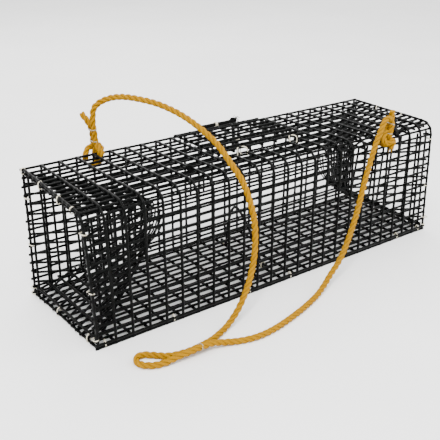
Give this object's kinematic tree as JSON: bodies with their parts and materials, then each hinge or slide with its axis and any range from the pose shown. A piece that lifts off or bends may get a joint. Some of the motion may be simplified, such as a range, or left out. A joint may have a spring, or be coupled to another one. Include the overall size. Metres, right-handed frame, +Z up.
{
  "type": "folding crab trap",
  "caption": "Box-shaped crab trap of black coated wire mesh with a funnel entrance at each end, a hinged top hatch with an elastic latch, a bait clip and a rope bridle.",
  "frame": {"origin": "centre of the trap's underside, on the lowest cross wires", "axes": "+X along the trap, +Y from the front wall to the back wall where the latch is, +Z up"},
  "size_m": [0.614, 0.306, 0.2717],
  "materials": {
    "coated_wire": "semi-gloss vinyl coating",
    "clip_wire": "semi-gloss coating",
    "hook_wire": "satin",
    "hog_ring": "galvanised",
    "rope": "polypropylene yarn",
    "shock_cord": "braided"
  },
  "bodies": {
    "trap": {"body_floor": "coated_wire", "body_front_wall": "coated_wire", "body_back_wall": "coated_wire", "body_top": "coated_wire", "body_front_bend": "coated_wire", "left_funnel_top": "coated_wire", "left_funnel_bottom": "coated_wire", "left_funnel_front": "coated_wire", "left_funnel_back": "coated_wire", "right_funnel_top": "coated_wire", "right_funnel_bottom": "coated_wire", "right_funnel_front": "coated_wire", "right_funnel_back": "coated_wire", "hatch_hinge_ring_1": "hog_ring", "hatch_hinge_ring_2": "hog_ring", "hatch_hinge_ring_3": "hog_ring", "hatch_hinge_ring_4": "hog_ring", "seam_ring_1": "hog_ring", "seam_ring_2": "hog_ring", "seam_ring_3": "hog_ring", "seam_ring_4": "hog_ring", "seam_ring_5": "hog_ring", "seam_ring_6": "hog_ring", "seam_ring_7": "hog_ring", "left_end_ring_top_1": "hog_ring", "left_end_ring_top_2": "hog_ring", "left_end_ring_bottom_1": "hog_ring", "left_end_ring_bottom_2": "hog_ring", "left_end_ring_front_1": "hog_ring", "left_end_ring_front_2": "hog_ring", "left_end_ring_back_1": "hog_ring", "left_end_ring_back_2": "hog_ring", "right_end_ring_top_1": "hog_ring", "right_end_ring_top_2": "hog_ring", "right_end_ring_bottom_1": "hog_ring", "right_end_ring_bottom_2": "hog_ring", "right_end_ring_front_1": "hog_ring", "right_end_ring_front_2": "hog_ring", "right_end_ring_back_1": "hog_ring", "right_end_ring_back_2": "hog_ring", "latch_anchor_cord": "shock_cord", "latch_anchor_ring": "hog_ring", "bait_clip_ring_front": "hog_ring", "bait_clip_ring_back": "hog_ring", "rope_bridle": "rope", "rope_left_anchor": "rope", "rope_right_anchor": "rope", "rope_left_ring_lower": "hog_ring", "rope_left_ring_upper": "hog_ring", "rope_right_ring_lower": "hog_ring", "rope_right_ring_upper": "hog_ring", "rope_eye_ring": "hog_ring"},
    "hatch": {"hatch_door": "coated_wire"},
    "latch": {"latch_cord": "shock_cord", "latch_clamp_ring": "hog_ring", "latch_hook": "hook_wire"},
    "bait_clip": {"bait_clip": "clip_wire"}
  },
  "joints": [
    {"name": "hatch_hinge", "type": "hinge", "parent": "trap", "child": "hatch", "pos_m": [0, -0.03035, 0.18995], "axis": [1, 0, 0], "range_deg": [0, 150]},
    {"name": "latch_swing", "type": "hinge", "parent": "trap", "child": "latch", "pos_m": [0.046, 0.097, 0.19], "axis": [0, 1, 0], "range_deg": [0, 110]},
    {"name": "bait_clip_swing", "type": "hinge", "parent": "trap", "child": "bait_clip", "pos_m": [0, 0.0075, 0.0076], "axis": [0, 1, 0], "range_deg": [-70, 70]}
  ]
}
